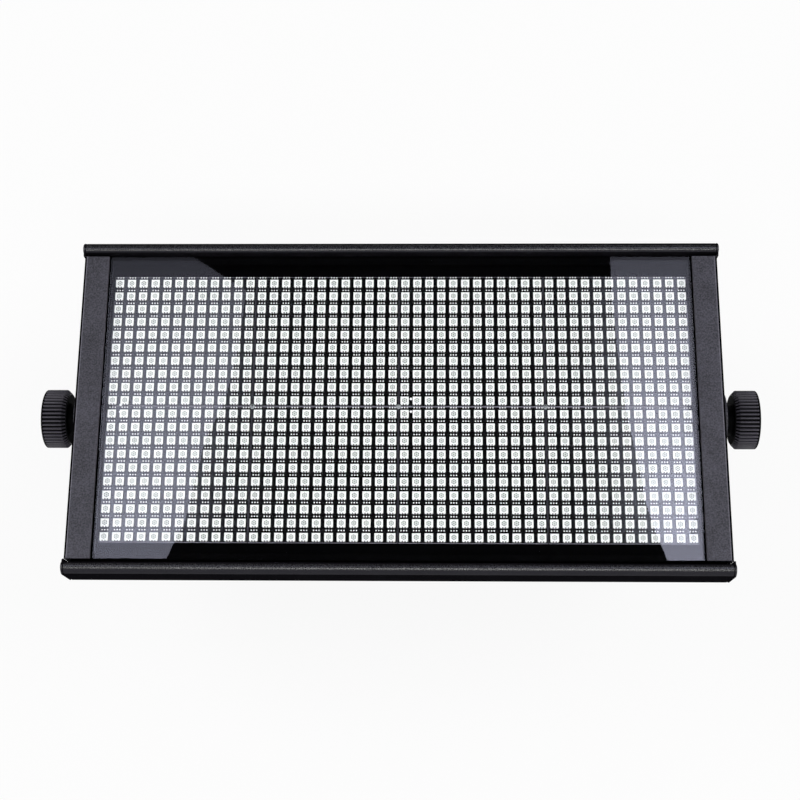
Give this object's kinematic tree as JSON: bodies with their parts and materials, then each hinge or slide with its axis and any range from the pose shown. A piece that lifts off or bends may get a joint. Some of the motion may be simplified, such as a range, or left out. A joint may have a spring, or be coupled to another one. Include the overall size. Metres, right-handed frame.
{
  "type": "strobe light",
  "caption": "Flat LED panel strobe head with a glass front, turning in a U-shaped yoke and held by two side knobs.",
  "frame": {"origin": "middle of the overall box at floor level, under the yoke base", "axes": "+X to the right knob, +Y to the top bar, +Z along the beam, away from the yoke base"},
  "size_m": [0.4118, 0.1938, 0.152],
  "materials": {
    "black_anodised": "black anodised extrusion, satin",
    "black_powder_coat": "fine textured black powder coat",
    "black_plastic": "moulded black plastic",
    "grey_plastic": "moulded dark grey plastic",
    "front_glass": "clear tempered glass with polished edges",
    "display": "smoked clear window",
    "black_rubber": "matt seal",
    "lamp_board": "black solder mask with white lamp bodies",
    "green_board": "green solder mask",
    "aluminium": "bare aluminium",
    "steel": "bright zinc plated steel",
    "nylon": "natural nylon"
  },
  "bodies": {
    "yoke": {"yoke": "black_powder_coat"},
    "head": {"top_bar": "black_anodised", "bottom_bar": "black_anodised", "top_left_end_cap": "black_anodised", "bottom_left_end_cap": "black_anodised", "left_side_plate": "black_powder_coat", "left_friction_washer": "nylon", "left_pivot_nut": "steel", "left_fan_frame": "black_plastic", "left_fan_guard": "steel", "top_right_end_cap": "black_anodised", "bottom_right_end_cap": "black_anodised", "right_side_plate": "black_powder_coat", "right_friction_washer": "nylon", "right_pivot_nut": "steel", "right_fan_frame": "black_plastic", "right_fan_guard": "steel", "front_glass": "front_glass", "glass_seal": "black_rubber", "carrier_plate": "black_anodised", "heat_sink": "aluminium", "rear_cover": "black_powder_coat", "power_supply": "aluminium", "driver_board": "green_board", "control_board": "green_board", "control_panel": "black_plastic", "display_window": "display", "data_inlet": "black_plastic", "data_outlet": "black_plastic", "mains_inlet": "black_plastic", "mains_outlet": "black_plastic", "fuse_holder": "black_plastic", "safety_eye": "steel", "lamp_board_1": "lamp_board", "lamp_board_2": "lamp_board", "lamp_board_3": "lamp_board", "lamp_board_4": "lamp_board", "lamp_board_5": "lamp_board", "lamp_board_6": "lamp_board", "lamp_board_7": "lamp_board", "lamp_board_8": "lamp_board", "cover_screw_1": "steel", "cover_screw_2": "steel", "cover_screw_3": "steel", "cover_screw_4": "steel"},
    "left_knob": {"left_clamp_knob": "black_plastic", "left_knob_stud": "steel"},
    "left_rotor": {"left_fan_rotor": "black_plastic"},
    "right_knob": {"right_clamp_knob": "black_plastic", "right_knob_stud": "steel"},
    "right_rotor": {"right_fan_rotor": "black_plastic"},
    "button_1": {"control_button_1": "grey_plastic"},
    "button_2": {"control_button_2": "grey_plastic"},
    "button_3": {"control_button_3": "grey_plastic"},
    "button_4": {"control_button_4": "grey_plastic"},
    "latch": {"data_outlet_latch": "steel"},
    "fuse_cap": {"fuse_cap": "black_plastic"}
  },
  "joints": [
    {"name": "yoke_tilt", "type": "hinge", "parent": "yoke", "child": "head", "pos_m": [0, 0, 0.115], "axis": [1, 0, 0], "range_deg": [-180, 180]},
    {"name": "left_knob_turn", "type": "hinge", "parent": "head", "child": "left_knob", "pos_m": [-0.196, 0, 0.115], "axis": [-1, 0, 0], "range_deg": [0, 360]},
    {"name": "left_fan_spin", "type": "hinge", "parent": "head", "child": "left_rotor", "pos_m": [-0.098, 0.028, 0.09], "axis": [0, 0, 1], "continuous": true},
    {"name": "right_knob_turn", "type": "hinge", "parent": "head", "child": "right_knob", "pos_m": [0.196, 0, 0.115], "axis": [1, 0, 0], "range_deg": [0, 360]},
    {"name": "right_fan_spin", "type": "hinge", "parent": "head", "child": "right_rotor", "pos_m": [0.098, 0.028, 0.09], "axis": [0, 0, 1], "continuous": true},
    {"name": "button_1_press", "type": "slide", "parent": "head", "child": "button_1", "axis": [0, 0, 1], "range_m": [0, 0.0006], "stiffness_N_per_m": 2500},
    {"name": "button_2_press", "type": "slide", "parent": "head", "child": "button_2", "axis": [0, 0, 1], "range_m": [0, 0.0006], "stiffness_N_per_m": 2500},
    {"name": "button_3_press", "type": "slide", "parent": "head", "child": "button_3", "axis": [0, 0, 1], "range_m": [0, 0.0006], "stiffness_N_per_m": 2500},
    {"name": "button_4_press", "type": "slide", "parent": "head", "child": "button_4", "axis": [0, 0, 1], "range_m": [0, 0.0006], "stiffness_N_per_m": 2500},
    {"name": "latch_press", "type": "slide", "parent": "head", "child": "latch", "axis": [0, 0, 1], "range_m": [0, 0.0015], "stiffness_N_per_m": 1500},
    {"name": "fuse_cap_turn", "type": "hinge", "parent": "head", "child": "fuse_cap", "pos_m": [-0.154, -0.006, 0.08], "axis": [0, 0, -1], "range_deg": [0, 90]}
  ]
}
